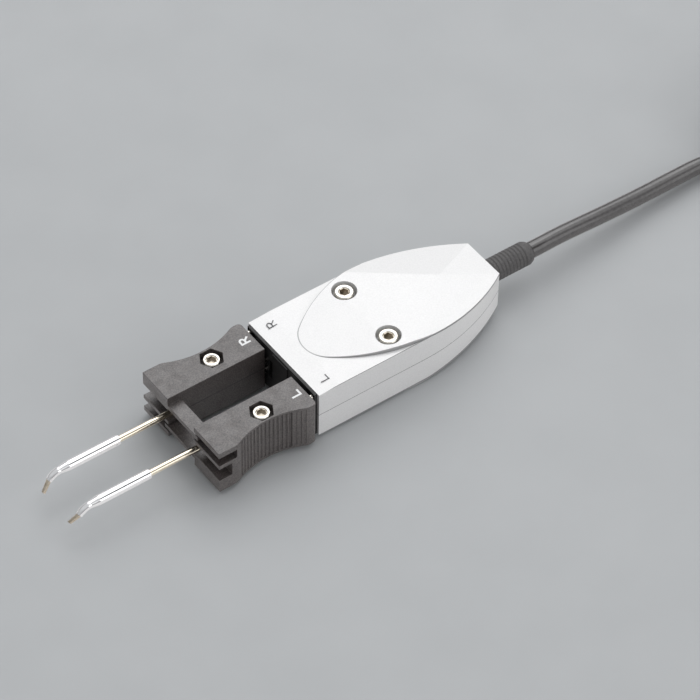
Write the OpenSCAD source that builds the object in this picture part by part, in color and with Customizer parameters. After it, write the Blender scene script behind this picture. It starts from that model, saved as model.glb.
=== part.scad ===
// Soldering tweezers: a two-shell handle with two sprung arms that carry heated tips.
// Local frame of the tool: u runs forward from the front edge of the handle, v to the left
// side, w up from the parting plane. place() moves it into the part's frame, in which the
// handle's belly rests at z = 0.

/* [Handle] */
// Length of the silver handle, without the boot
body_len = 68.7; // [62:0.1:76]
// Width of the handle at the front
body_w = 33.3; // [32:0.1:38]
// Height of the front edge above the parting plane
apron_h = 8.25; // [7.8:0.05:9.5]
// Rise of the shield above the front edge
shield_rise = 1.1; // [0.6:0.05:1.6]
// Width of the flat rear end
rear_w = 14.5; // [12:0.1:18]
// Height of the rear end above the parting plane
rear_h = 6.65; // [6.2:0.05:7.6]
// Straight length of the sides, behind which they curve in
side_straight = 36; // [32:0.5:40]
// Wall of the shells
wall = 2; // [1.6:0.1:2.4]
// Distance of the shield's round nose behind the front edge
shield_nose = 6.8; // [5:0.1:9]
// Radius of the shield's long side curves
shield_side_r = 44.6; // [40:0.1:50]
// Distance behind the front edge at which the shield is widest
shield_widest = 38; // [36:0.5:40]
// Distance behind the front edge at which the shield becomes level
shield_level = 26; // [22:0.5:28]
// Distance behind the front edge at which the rear creases leave the sides
crease_start = 31.5; // [30:0.5:35]
// Distance behind the front edge at which the rear creases end
crease_end = 53; // [50:0.5:56]
// Thickness of the front plate in front of the shells
plate_t = 0.9; // [0.6:0.05:1.1]
// Inset of the front plate from the outside of the shells
plate_inset = 0.35; // [0.2:0.05:0.6]

/* [Pivots] */
// Distance of the pivots behind the front edge
pivot_back = 27.86; // [24:0.1:32]
// Distance of the pivots from the handle's sides
pivot_edge = 6.34; // [6.1:0.02:6.6]
// Thread diameter of the pivot screws
screw_d = 3; // [2.5:0.1:3.5]
// Head diameter of the pivot screws
head_d = 5.5; // [5:0.1:6]
// Head height of the pivot screws
head_h = 3; // [2.5:0.1:3.2]
// Diameter of the counterbores
counterbore_d = 7.3; // [6.6:0.1:8]
// Outer diameter of the pivot bushes
bush_d = 5; // [4.6:0.1:5.4]
// Thickness of the levers
lever_t = 6; // [5:0.1:6.4]
// Gap between a lever and the bosses above and below it
lever_gap = 0.4; // [0.3:0.05:0.6]
// Coil diameter of the return spring
spring_d = 4.4; // [4:0.1:4.8]
// Wire diameter of the return spring
spring_wire = 0.5; // [0.4:0.05:0.6]

/* [Grips] */
// Gap between the handle's front edge and the grips
grip_gap = 1.84; // [1.6:0.02:2.4]
// Length of a grip
grip_len = 32; // [30:0.1:36]
// Height of a grip above the parting plane
grip_h = 7.55; // [7.2:0.05:8]
// How far the grips stand out beyond the handle's sides
grip_overhang = 1.65; // [1:0.05:2]
// Width of a grip
grip_w = 12.05; // [11.8:0.05:12.4]
// Depth of the finger scallop
scallop_depth = 2.8; // [1.5:0.1:3]
// Length of the finger scallop
scallop_len = 23; // [20:0.5:24]
// Distance of the scallop's middle from the grip's rear end
scallop_mid = 14.5; // [13.5:0.1:15]
// Pitch of the ribs in the scallop
rib_pitch = 1.3; // [1.2:0.1:2]
// Radius of the grooves between the ribs
rib_groove_r = 0.35; // [0.3:0.05:0.5]
// Distance of the clamp screw from the grip's rear end
clamp_u = 13.76; // [12:0.1:15]
// Distance of the clamp screws from the grips' outer sides
clamp_edge = 6.46; // [6.3:0.02:6.6]
// Thread diameter of the clamp screws
clamp_d = 2.5; // [2:0.1:2.6]
// Width across flats of the hexagonal pockets
pocket_af = 6.3; // [6:0.1:6.4]

/* [Comb at the front of the grips] */
// Length of the tongue and of the plates in front of the recess
comb_len = 4.4; // [4:0.1:5]
// Thickness of the thin plate
plate_thin = 1.8; // [1.4:0.1:2]
// Height of the slot under the thin plate
slot_h = 3; // [2.6:0.1:3.2]
// Thickness of the fin under the slot
fin_t = 1.35; // [1:0.05:1.5]
// Thickness of the thick plate
plate_thick = 4.5; // [4:0.1:4.8]
// Thickness of the tongues
tongue_t = 1.4; // [1:0.1:1.6]
// How far a tongue reaches into the other grip's slot at rest
tongue_reach = 1.75; // [1:0.05:2.5]

/* [Tips] */
// Distance of the tips from the grips' inner walls
tip_edge = 1.2; // [1.1:0.05:1.4]
// Diameter of the brass tubes
tube_d = 1.85; // [1.6:0.05:2]
// Diameter of the chromed barrels
barrel_d = 2.8; // [2.4:0.05:3]
// Distance of the barrels' rear ends from the handle's front edge
barrel_u = 49.2; // [44:0.1:54]
// Straight length of the barrels
barrel_len = 18.7; // [16:0.1:22]
// Diameter of the barrels where they bend
bend_d = 2.1; // [1.9:0.05:2.4]
// Radius of the bend in the barrels
bend_r = 4; // [3:0.1:8]
// Angle of the bend
bend_angle = 44; // [20:1:50]
// Length from the end of the bend to the end of the blade
blade_reach = 4.53; // [4:0.01:7]
// Height of the blade's edge
blade_edge = 0.95; // [0.8:0.05:1.2]
// Thickness of the blade's end
blade_t = 0.7; // [0.4:0.1:1]

/* [Cable and plug] */
// Diameter of the cable
cable_d = 5; // [4.4:0.1:5.2]
// Diameter of the boot
boot_d = 7.2; // [6.8:0.1:8]
// Length of the boot behind the handle
boot_len = 16.2; // [12:0.1:20]
// Diameter of the plug's coupling ring
ring_d = 15; // [14.6:0.1:16]
// Length of the plug's coupling ring
ring_len = 9; // [8.6:0.1:12]
// Diameter of the plug's nose
nose_d = 11; // [10:0.1:11.6]

/* [Hidden] */
$fn = 48;
far = 200;
eps = 0.02;

// Clearances
seat_gap = 0.1;
run_gap = 0.05;
free_gap = 0.4;

// Handle
shield_h = apron_h + shield_rise;
mid_z = shield_h;
taper_run = body_len - side_straight;
taper_drop = (body_w - rear_w) / 2;
taper_r = (taper_run * taper_run + taper_drop * taper_drop) / (2 * taper_drop);
shield_side_v = shield_side_r - body_w / 2;
shield_run = shield_widest - shield_nose;
nose_r = (pow(shield_side_r, 2) - pow(shield_side_v, 2) - pow(shield_run, 2))
    / (2 * (shield_side_r - shield_run));
nose_u = -shield_nose - nose_r;
nose_share = (nose_u + shield_widest) / (shield_side_r - nose_r);
nose_join = -shield_widest + shield_side_r * nose_share;
ramp_tilt = atan(shield_rise / (shield_level - shield_nose));
crease_turn = atan((body_w / 2) / (crease_end - crease_start));
rear_drop = shield_h - rear_h;
rear_tilt = atan(rear_drop / (body_len - crease_end));
crease_dist = (body_len - crease_start) * sin(crease_turn) - (body_w - rear_w) / 2 * cos(crease_turn);
crease_tilt = atan(rear_drop / crease_dist);
cavity_h = apron_h - wall - 0.2;
rear_cavity_h = rear_h - wall;
rear_cavity = body_len - 22.7;
spigot = 2;
plate_side = plate_inset + 0.5;

// Pivots
pivot_v = body_w / 2 - pivot_edge;
head_sink = 0.3;
head_floor = shield_h - head_sink - head_h;
screw_len = 13;
screw_key = 2.5;
boss_w = lever_t / 2 + lever_gap;
boss_d = counterbore_d + 2.7;
lever_eye_r = bush_d / 2 + 1.35;
insert_d = screw_d + 1.3;
insert_len = 4.4;

// Grips
grip_front = grip_gap + grip_len;
grip_outer = body_w / 2 + grip_overhang;
grip_inner = grip_outer - grip_w;
clamp_v = grip_outer - clamp_edge;
scallop_r = (pow(scallop_len / 2, 2) + pow(scallop_depth, 2)) / (2 * scallop_depth);
scallop_x = grip_gap + scallop_mid;
scallop_c = grip_outer - scallop_depth + scallop_r;
scallop_ease = 4;
scallop_end_w = scallop_c - grip_outer + scallop_ease;
scallop_end_u = sqrt(pow(scallop_r + scallop_ease, 2) - pow(scallop_end_w, 2));
corner_r = 1.2;
rib_lip = 0.7;
rib_count = floor(scallop_len / rib_pitch) - 3;
rib_shift = 1;
pocket_depth = 2.7;
clamp_x = grip_gap + clamp_u;
clamp_head_d = clamp_d + 2.4;
clamp_head_h = 2.2;
clamp_nut_af = pocket_af - 0.3;
clamp_nut_h = 2;
clamp_key = 2.5;
clamp_len = 2 * (grip_h - pocket_depth) + clamp_nut_h;
thin_low = grip_h - plate_thin;
slot_low = thin_low - slot_h;
fin_low = slot_low - fin_t;
thick_top = -grip_h + plate_thick;
slot_back = grip_front - comb_len - 1.5;
recess_back = grip_front - comb_len + 0.2;
tongue_w = slot_low + slot_h / 2;
tongue_end = grip_inner + tongue_reach;
tongue_chamfer = 1.6;

// Levers, sockets and pins
neck_w = 4;
neck_t = 4.4;
lever_front = 0.55;
lever_root = lever_eye_r - 0.3;
lever_run = 6;
lever_out = clamp_v + neck_w / 2;
lever_in = pivot_v - 1.6;
socket_in = grip_inner - 0.35;
socket_len = 9;
contact_d = 1.2;
contact_v = grip_inner + tip_edge - 0.15;
contact_w = 1.8;
contact_end = grip_gap + 7.2;
guide_d = 1.4;
guide_v = grip_outer - 3.69;
guide_w = grip_h - 1.15;
guide_end = 0.45;
guide_root = grip_gap + 6;
slot_gap = 0.3;
swing = 1.75;
spring_u = -18;
spring_seat = 1.6;
spring_turns = 7;
spring_half = lever_in + spring_seat - run_gap;

// Tips
tip_v = grip_inner + tip_edge;
tube_wall = 0.25;
tube_start = grip_gap + 9.6;
tube_seat = 2;
heater_d = 1.3;
heater_len = 11;
heater_u = barrel_u + tube_seat + 0.3;
lead_d = 0.3;
lead_w = 0.3;
bend_u = barrel_u + barrel_len;
tip_reach = bend_u + (bend_r + blade_edge / 2) * sin(bend_angle) + blade_reach * cos(bend_angle);
barrel_taper = 2.6;
collar_len = 0.9;
collar_d = bend_d - 0.2;
collar_sink = 0.2;
collar_groove = 0.25;
crimp_d = 0.5;
crimp_u = 1.3;
blade_root_d = 1.4;
blade_slice = 0.1;

// Place of the tool in the part's frame: the origin is under the middle of its length
front_x = (body_len + boot_len - tip_reach) / 2;

// Cable inside the handle
flange_d = boot_d + 1.8;
flange_t = 1.8;
neck_hole_d = boot_d - 0.8;
clamp_bar_u = -body_len + 8.7;
clamp_post_v = 5.6;
clamp_post_d = 4.4;
clamp_bar_t = 2.1;
clamp_bar_low = 1.5;
cord_screw_d = 1.96;
cord_screw_len = 5.5;
cord_head_d = 3.6;
cord_head_h = 0.9;
cord_key = 1.3;
core_end = -body_len + 13.7;
board_u = -body_len + 20.7;
board_len = body_len - 20.7 - pivot_back - 9.64;
pad_len = 0.28 * board_len;
board_w = 17;
board_t = 1.2;
board_low = -3;
peg_d = 1.8;
peg_v = 6.6;
wire_d = 1.1;

// Cable on the bench, in the part's frame: boot, slope down, bend to the hank
cable_rest = 3;
hank_x = -181.5;
hank_run = 46;
hank_fold_r = 20.4;
hank_wide = 2;
hank_layers = 3;
hank_w = hank_wide * cable_d;
hank_h = hank_layers * cable_d;
hank_start = hank_x - 2;
lead_y = -3.1;
lead_r = 22;
lead_turn = acos(1 - (hank_fold_r - lead_y) / (2 * lead_r));
lead_x = hank_start + 2 * lead_r * sin(lead_turn);
boot_end = front_x - body_len - boot_len;
route = concat(
    [[boot_end, 0, mid_z], [boot_end - 5, 0, mid_z], [-91, -0.4, 8.9], [-98, -0.7, 8.2], [-105, -1, 7.4]],
    [[-113, -1.5, 6.4], [-121, -2, 5.5], [-129, -2.5, 4.8], [-137.5, -2.9, 4.3]],
    [for (i = [0:4]) let (a = lead_turn * i / 5)
        [lead_x - lead_r * sin(a), lead_y + lead_r * (1 - cos(a)), cable_rest + 0.9 * pow(1 - i / 5, 2)]],
    [for (i = [0:5]) let (a = lead_turn * (1 - i / 5))
        [hank_start + lead_r * sin(a), hank_fold_r - lead_r * (1 - cos(a)), cable_rest]]
);
tie_t = 0.35;
tie_w = 8;

// Plug, in line behind the hank; the last strand runs over the hank's top and down to it
plug_z = ring_d / 2;
tail_y = hank_fold_r - cable_d;
tail_len = 96;
tail_steps = 16;
tail_climb = 29.5;
tail_drop = hank_run + 15;
tail_level = 2;
plug_x = hank_x - tail_len;
plug_boot_len = 10.5;
plug_body_len = 10;
plug_body_d = 14;
sleeve_d = 12.4;
nose_len = 7;
ring_play = 0.3;
body_end = plug_boot_len + plug_body_len;
sleeve_end = body_end + ring_len + 2 * ring_play;
nose_end = sleeve_end + nose_len;
insert_r = nose_d / 2 - 0.8;
insert_start = body_end + 2;
insert_set_back = 0.4;
contact_ring_d = 6;
contact_start = sleeve_end;
sleeve_contact_d = 1.6;

// Colours
silver = [0.86, 0.86, 0.87];
black = [0.2, 0.19, 0.19];
steel = [0.75, 0.74, 0.72];
brass = [0.8, 0.68, 0.42];
chrome = [0.9, 0.9, 0.92];
grey = [0.36, 0.35, 0.35];

// Helpers

module place() {
    translate([front_x, 0, mid_z]) children();
}

// Both pivots, left then right
module each_pivot() {
    for (side = [1, -1]) translate([-pivot_back, side * pivot_v, 0]) children();
}

// The left arm as drawn, or the right arm by mirror in v
module arm(side) {
    place() mirror([0, side < 0 ? 1 : 0, 0]) children();
}

// A round rod along u
module rod(from, to, d) {
    translate([from, 0, 0]) rotate([0, 90, 0]) cylinder(d = d, h = to - from);
}

// A hexagonal prism with corners along u
module hex(af, h) {
    cylinder(d = af / cos(30), h = h, $fn = 6);
}

// Everything above a plane through p that falls towards the direction turn by the angle tilt
module above(p, tilt, turn) {
    translate(p) rotate([0, tilt, turn]) translate([-far / 2, -far / 2, 0]) cube(far);
}

function unit(a) = a / norm(a);
function tangent(p, i) = unit(p[min(i + 1, len(p) - 1)] - p[max(i - 1, 0)]);

// One ring of points round point i of a path
function tube_ring(p, i, r, sides, ref) =
    let (t = tangent(p, i), a = unit(cross(t, ref)), b = cross(a, t))
    [for (k = [0:sides - 1]) p[i] + r * (cos(360 * k / sides) * a + sin(360 * k / sides) * b)];

// A closed tube along a path
module tube(p, d, sides, ref) {
    n = len(p);
    points = [for (i = [0:n - 1]) each tube_ring(p, i, d / 2, sides, ref)];
    near_walls = [for (i = [0:n - 2], k = [0:sides - 1])
        [i * sides + k, i * sides + (k + 1) % sides, (i + 1) * sides + k]];
    far_walls = [for (i = [0:n - 2], k = [0:sides - 1])
        [i * sides + (k + 1) % sides, (i + 1) * sides + (k + 1) % sides, (i + 1) * sides + k]];
    first = [for (k = [sides - 1:-1:0]) k];
    last = [for (k = [0:sides - 1]) (n - 1) * sides + k];
    polyhedron(points, concat(near_walls, far_walls, [first, last]));
}

// Handle

// Plan of the handle, moved in by inset
module handle_plan(inset = 0) {
    intersection() {
        translate([-body_len + inset, -body_w / 2 + inset]) square([body_len - inset, body_w - 2 * inset]);
        union() {
            translate([-side_straight, -body_w / 2]) square([side_straight, body_w]);
            intersection() {
                taper_side(1, inset);
                taper_side(-1, inset);
            }
        }
    }
}

// Big circle whose arc is one tapering side
module taper_side(side, inset) {
    translate([-side_straight, side * (body_w / 2 - taper_r)]) circle(r = taper_r - inset, $fn = 180);
}

// Plan of the shield: two long arcs closed by a round nose
module shield_plan() {
    intersection() {
        translate([-shield_widest, -shield_side_v]) circle(r = shield_side_r, $fn = 180);
        translate([-shield_widest, shield_side_v]) circle(r = shield_side_r, $fn = 180);
        translate([-body_len, -body_w]) square([body_len + nose_join, 2 * body_w]);
    }
    translate([nose_u, 0]) circle(r = nose_r, $fn = 90);
}

// Outside of one half of the handle, above the parting plane
module half_body() {
    difference() {
        linear_extrude(shield_h) handle_plan();
        translate([0, 0, apron_h]) linear_extrude(shield_rise + 1) difference() {
            translate([-shield_widest, -body_w]) square([shield_widest + 1, 2 * body_w]);
            shield_plan();
        }
        above([-shield_level, 0, shield_h], ramp_tilt, 0);
        above([-crease_end, 0, shield_h], rear_tilt, 180);
        for (side = [1, -1])
            above([-crease_start, side * body_w / 2, shield_h], crease_tilt, side * (90 + crease_turn));
    }
}

// Hollow of one half, open to the front and at the parting plane
module half_cavity() {
    translate([0, 0, -1]) {
        linear_extrude(cavity_h + 1) intersection() {
            handle_plan(wall);
            translate([-rear_cavity, -body_w]) square([rear_cavity + 1, 2 * body_w]);
        }
        linear_extrude(rear_cavity_h + 1) handle_plan(wall);
    }
    rod(-body_len - 1, -body_len + wall + 1, neck_hole_d);
}

// Shell of one half with its pivot bosses
module half_shell() {
    difference() {
        half_body();
        difference() {
            half_cavity();
            each_pivot() translate([0, 0, boss_w]) cylinder(d = boss_d, h = shield_h);
        }
    }
}

module upper_shell() {
    color(silver) place() difference() {
        half_shell();
        each_pivot() {
            translate([0, 0, head_floor]) cylinder(d = counterbore_d, h = far);
            cylinder(d = screw_d + 2 * seat_gap, h = far);
        }
    }
}

module lower_shell() {
    color(silver) place() {
        difference() {
            mirror([0, 0, 1]) half_shell();
            each_pivot() translate([0, 0, -boss_w - insert_len]) cylinder(d = insert_d, h = far);
        }
        // Ribs and pegs under the terminal board
        for (side = [1, -1]) translate([0, side * peg_v, 0]) {
            translate([board_u, -1, -cavity_h - eps]) cube([board_len, 2, board_low + cavity_h + eps]);
            translate([board_u + board_len / 2, 0, board_low - eps]) cylinder(d = peg_d, h = board_t + 0.8);
        }
        // Posts of the cord clamp
        for (side = [1, -1]) translate([clamp_bar_u, side * clamp_post_v, -rear_cavity_h - eps])
            difference() {
                cylinder(d = clamp_post_d, h = clamp_bar_low + rear_cavity_h + eps);
                translate([0, 0, 1]) cylinder(d = cord_screw_d + 2 * eps, h = far);
            }
    }
}

// Black plate that closes the front, with a window for each arm
module front_plate() {
    color(black) place() difference() {
        union() {
            rotate([90, 0, 90]) linear_extrude(plate_t)
                square([body_w - 2 * plate_side, 2 * (apron_h - plate_inset)], center = true);
            rotate([90, 0, 90]) translate([0, 0, -spigot]) linear_extrude(spigot + eps)
                square([body_w - 2 * wall - 2 * seat_gap, 2 * (cavity_h - seat_gap)], center = true);
            rotate([90, 0, 90]) translate([0, 0, plate_t - eps]) linear_extrude(0.4)
                square([2 * (socket_in - swing - 2 * free_gap), 2 * (grip_h - 0.2)], center = true);
        }
        for (side = [1, -1]) mirror([0, side < 0 ? 1 : 0, 0]) {
            translate([-far / 2, socket_in - swing - free_gap, -lever_t / 2 - free_gap])
                cube([far, lever_out + swing + 2 * free_gap - socket_in, lever_t + 2 * free_gap]);
            translate([-far, socket_in - swing - free_gap, -lever_t / 2 - free_gap])
                cube([far, far, lever_t + 2 * free_gap]);
            for (level = [1, -1])
                translate([guide_end - slot_gap, guide_v - swing - guide_d / 2 - free_gap, level * guide_w])
                    translate([0, 0, -guide_d / 2 - slot_gap])
                        cube([far, swing + guide_d + 2 * free_gap, guide_d + 2 * slot_gap]);
        }
    }
}

// Socket-head screw from the seat of its head up, with broken edges on the head and the socket
module socket_screw(d, head_d, head_h, len, key) {
    edge = 0.05 * head_d;
    socket_d = key / cos(30);
    difference() {
        union() {
            cylinder(d = head_d, h = head_h - edge);
            translate([0, 0, head_h - edge]) cylinder(d1 = head_d, d2 = head_d - 2 * edge, h = edge);
            translate([0, 0, -len]) cylinder(d = d, h = len + eps);
        }
        translate([0, 0, head_h * 0.4]) hex(key, head_h);
        translate([0, 0, head_h - edge]) cylinder(d1 = socket_d, d2 = socket_d + 4 * edge, h = 2 * edge);
    }
}

module pivot_screws() {
    color(steel) place() each_pivot() translate([0, 0, head_floor])
        socket_screw(screw_d, head_d, head_h, screw_len, screw_key);
}

module pivot_bushes() {
    color(brass) place() each_pivot() translate([0, 0, -boss_w]) difference() {
        cylinder(d = bush_d, h = 2 * boss_w);
        translate([0, 0, -1]) cylinder(d = screw_d + 2 * run_gap, h = far);
    }
}

module screw_inserts() {
    color(brass) place() each_pivot() translate([0, 0, -boss_w - insert_len]) difference() {
        cylinder(d = insert_d, h = insert_len);
        translate([0, 0, -1]) cylinder(d = screw_d + 2 * eps, h = far);
    }
}

module return_spring() {
    steps = 14;
    coil = [for (i = [0:spring_turns * steps])
        let (a = 360 * i / steps, r = (spring_d - spring_wire) / 2)
        [r * cos(a), -spring_half + spring_wire / 2
            + (2 * spring_half - spring_wire) * i / (spring_turns * steps), r * sin(a)]];
    color(steel) place() translate([spring_u, 0, 0]) tube(coil, spring_wire, 6, [0, 1, 0]);
}

module terminal_board() {
    color([0.1, 0.4, 0.25]) place() difference() {
        translate([board_u, -board_w / 2, board_low]) cube([board_len, board_w, board_t]);
        for (side = [1, -1]) translate([board_u + board_len / 2, side * peg_v, board_low - 1])
            cylinder(d = peg_d + 2 * run_gap, h = far);
    }
}

// Four conductors from the cable's end to the board
module conductors() {
    top = board_low + board_t + wire_d / 2;
    color([0.75, 0.2, 0.15]) place() for (k = [-1.5:1:1.5]) {
        tube([
            [core_end, k * 1.3, 0], [core_end + 2, k * 1.3, 0], [core_end + 4, k * 1.7, -0.5],
            [board_u - 1, k * 2.2, top], [board_u + pad_len, k * 2.6, top]
        ], wire_d, 8, [0, 0, 1]);
    }
}

// Two flexible wires from the board to one lever's socket
module arm_wires(side) {
    top = board_low + board_t + wire_d / 2;
    start = board_u + board_len;
    over = spring_d / 2 + wire_d / 2 + free_gap;
    color([0.15, 0.3, 0.7]) arm(side) for (k = [0, 1]) {
        tube([
            [start - pad_len, 2 + 1.6 * k, top], [start, 2 + 1.6 * k, top],
            [start + 3, 2.2 + 1.6 * k, top + 0.8], [start + 8, 2.6 + 1.5 * k, 1.4],
            [spring_u - 5, 3.2 + 1.4 * k, over], [spring_u, 4 + 1.3 * k, over],
            [spring_u + 3.5, 5.2 + 1.3 * k, over - 0.4], [-socket_len - 3, socket_in + 0.6 + 1.3 * k, 1],
            [-socket_len - 1, socket_in + 0.75 + 1.3 * k, 0.1], [-socket_len, socket_in + 0.75 + 1.3 * k, 0]
        ], wire_d, 8, [0, 0, 1]);
    }
}

module left_wires() { arm_wires(1); }
module right_wires() { arm_wires(-1); }

module cord_clamp() {
    half = clamp_post_v + clamp_post_d / 2;
    color(black) place() difference() {
        translate([clamp_bar_u - 2, -half, clamp_bar_low]) cube([4, 2 * half, clamp_bar_t]);
        rod(clamp_bar_u - 3, clamp_bar_u + 3, cable_d + 2 * eps);
        for (side = [1, -1]) translate([clamp_bar_u, side * clamp_post_v, 0])
            cylinder(d = cord_screw_d + 2 * seat_gap, h = far);
    }
}

module clamp_screws() {
    color(steel) place() for (side = [1, -1])
        translate([clamp_bar_u, side * clamp_post_v, clamp_bar_low + clamp_bar_t])
            socket_screw(cord_screw_d, cord_head_d, cord_head_h, cord_screw_len, cord_key);
}

// Ringed rubber boot, held by a flange behind the rear wall
module cable_boot() {
    rings = 11;
    pitch = (boot_len - 3) / rings;
    groove = 0.22;
    end_r = cable_d / 2 + 0.35;
    outline = concat(
        [[cable_d / 2 + eps, -wall - flange_t], [flange_d / 2, -wall - flange_t], [flange_d / 2, -wall]],
        [[neck_hole_d / 2 - eps, -wall], [neck_hole_d / 2 - eps, 0], [boot_d / 2, 0]],
        [for (i = [0:rings - 1], s = [0:2])
            [boot_d / 2 - (s == 1 ? groove : 0), 0.8 + pitch * (i + s * 0.3)]],
        [[boot_d / 2, boot_len - 1.3], [end_r + 0.3, boot_len - 0.2], [end_r, boot_len]],
        [[cable_d / 2 + eps, boot_len]]
    );
    color(grey) place() translate([-body_len, 0, 0]) rotate([0, -90, 0]) rotate_extrude() polygon(outline);
}

module cable_core() {
    color(grey) place() rod(-body_len - boot_len, core_end, cable_d);
}

// Arms, drawn for the left side

// Lever: eye on the pivot bush, arm through the front window, neck clamped in the grip
module arm_lever(side) {
    color(steel) arm(side) difference() {
        union() {
            translate([0, 0, -lever_t / 2]) linear_extrude(lever_t) {
                translate([-pivot_back, pivot_v]) circle(r = lever_eye_r);
                polygon([
                    [-pivot_back, pivot_v - lever_root], [-pivot_back + lever_run, lever_in],
                    [lever_front, lever_in], [lever_front, lever_out],
                    [-pivot_back + lever_run, lever_out], [-pivot_back, pivot_v + lever_root]
                ]);
            }
            translate([0, 0, -neck_t / 2]) linear_extrude(neck_t) {
                translate([lever_front - 1, clamp_v - neck_w / 2])
                    square([clamp_x - lever_front + 1, neck_w]);
                translate([clamp_x, clamp_v]) circle(d = neck_w);
            }
        }
        translate([-pivot_back, pivot_v, -far / 2]) cylinder(d = bush_d + 2 * run_gap, h = far);
        translate([clamp_x, clamp_v, -far / 2]) cylinder(d = clamp_d + 2 * run_gap, h = far);
        translate([spring_u, lever_in - 1, 0]) rotate([-90, 0, 0])
            cylinder(d = spring_d + 2 * slot_gap, h = spring_seat + 1);
    }
}

// Insulating block on the lever's inner face, with a hole for each contact pin
module arm_socket(side) {
    color(black) arm(side) difference() {
        translate([-socket_len, socket_in, -lever_t / 2])
            cube([socket_len + lever_front, lever_in - socket_in, lever_t]);
        for (level = [1, -1]) translate([0, contact_v, level * contact_w])
            rod(-socket_len + 2, far, contact_d + 2 * eps);
    }
}

module arm_contacts(side) {
    color(steel) arm(side) for (level = [1, -1])
        translate([0, contact_v, level * contact_w]) rod(-socket_len + 2, contact_end, contact_d);
}

// Pins at the grip's outer edge that run in slots of the front plate
module arm_guide_pins(side) {
    color(steel) arm(side) for (level = [1, -1])
        translate([0, guide_v, level * guide_w]) rod(guide_end, guide_root, guide_d);
}

// Plan of the grip: block with a round rear corner and a scallop
module grip_plan() {
    difference() {
        translate([grip_gap, grip_inner]) square([grip_len, grip_outer - grip_inner]);
        translate([scallop_x, scallop_c]) circle(r = scallop_r, $fn = 120);
        for (way = [1, -1]) scallop_end(way);
        difference() {
            translate([grip_gap - 1, grip_outer - corner_r]) square(corner_r + 1);
            translate([grip_gap + corner_r, grip_outer - corner_r]) circle(r = corner_r);
        }
    }
}

// What the round edge at the scallop's front end (1) or rear end (-1) takes away
module scallop_end(way) {
    share = scallop_r / (scallop_r + scallop_ease);
    edge = [way * scallop_end_u, scallop_c - scallop_end_w];
    translate([scallop_x, 0]) difference() {
        polygon([
            edge, [edge[0], grip_outer + 1], [way * scallop_len / 2, grip_outer + 1],
            [0, scallop_c] + share * (edge - [0, scallop_c])
        ]);
        translate(edge) circle(r = scallop_ease);
    }
}

// Grooves between the ribs, along the scallop
module grip_grooves() {
    turn = rib_pitch / scallop_r * 180 / PI;
    translate([0, 0, -grip_h + rib_lip]) linear_extrude(2 * (grip_h - rib_lip)) for (i = [0:rib_count - 1]) {
        a = (i - (rib_count - 1) / 2 + rib_shift) * turn;
        translate([scallop_x + scallop_r * sin(a), scallop_c - scallop_r * cos(a)])
            circle(r = rib_groove_r, $fn = 16);
    }
}

// Tongue that reaches from the thick plate across to the other grip
module grip_tongue() {
    back = grip_front - comb_len;
    translate([0, 0, -tongue_w - tongue_t / 2]) linear_extrude(tongue_t) polygon([
        [back, grip_inner + 1], [back, -tongue_end + tongue_chamfer], [back + tongue_chamfer, -tongue_end],
        [grip_front, -tongue_end], [grip_front, grip_inner + 1]
    ]);
}

// The whole left grip: comb front, pockets for the screw, lever, pins and tube
module grip() {
    difference() {
        union() {
            translate([0, 0, -grip_h]) linear_extrude(2 * grip_h) grip_plan();
            grip_tongue();
        }
        grip_grooves();
        translate([slot_back, grip_inner - 1, slot_low]) cube([far, far, slot_h]);
        translate([recess_back, grip_inner - 1, thick_top]) cube([far, far, fin_low - thick_top]);
        translate([clamp_x, clamp_v, 0]) {
            translate([0, 0, -far / 2]) cylinder(d = clamp_d + 2 * seat_gap, h = far);
            for (level = [0, 1]) mirror([0, 0, level])
                translate([0, 0, grip_h - pocket_depth]) hex(pocket_af, far);
        }
        translate([-1, clamp_v - neck_w / 2 - run_gap, -neck_t / 2 - run_gap])
            cube([clamp_x + 1 + neck_w / 2 + run_gap, neck_w + 2 * run_gap, neck_t + 2 * run_gap]);
        for (level = [1, -1]) {
            translate([0, contact_v, level * contact_w]) rod(-1, contact_end + 1, contact_d + 2 * eps);
            translate([0, guide_v, level * guide_w]) rod(-1, guide_root, guide_d + 2 * eps);
        }
        translate([contact_end, contact_v - contact_d / 2, -contact_w - contact_d / 2])
            cube([tube_start - contact_end, contact_d, 2 * contact_w + contact_d]);
        translate([0, tip_v, 0]) rod(tube_start, far, tube_d + 2 * eps);
    }
}

// Half of a grip, above or below the parting plane
module grip_half(level) {
    intersection() {
        grip();
        translate([-far / 2, -far / 2, level > 0 ? 0 : -far]) cube(far);
    }
}

// The right grip is the left one turned over about u
module turned() {
    rotate([180, 0, 0]) children();
}

module arm_clamp_screw(side) {
    color(steel) arm(side) translate([clamp_x, clamp_v, grip_h - pocket_depth])
        socket_screw(clamp_d, clamp_head_d, clamp_head_h, clamp_len, clamp_key);
}

module arm_clamp_nut(side) {
    color(steel) arm(side) translate([clamp_x, clamp_v, -grip_h + pocket_depth - clamp_nut_h]) difference() {
        hex(clamp_nut_af, clamp_nut_h);
        translate([0, 0, -1]) cylinder(d = clamp_d + 2 * eps, h = far);
    }
}

module arm_tube(side) {
    color(brass) arm(side) translate([0, tip_v, 0]) difference() {
        rod(tube_start, barrel_u + tube_seat, tube_d);
        rod(tube_start - 1, far, tube_d - 2 * tube_wall);
    }
}

// Moves to the end of the barrel's bend, with x along the bent axis
module at_bend_end() {
    translate([bend_u + bend_r * sin(bend_angle), 0, -bend_r * (1 - cos(bend_angle))])
        rotate([0, bend_angle, 0]) children();
}

// Sector of a ring, from straight up to the angle of the bend
module bend() {
    reach = 2 * bend_r;
    intersection() {
        rotate_extrude() translate([bend_r, 0]) circle(d = bend_d);
        translate([0, 0, -barrel_d]) linear_extrude(2 * barrel_d)
            polygon([[0, 0], [0, reach], [reach * tan(bend_angle), reach]]);
    }
}

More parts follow.
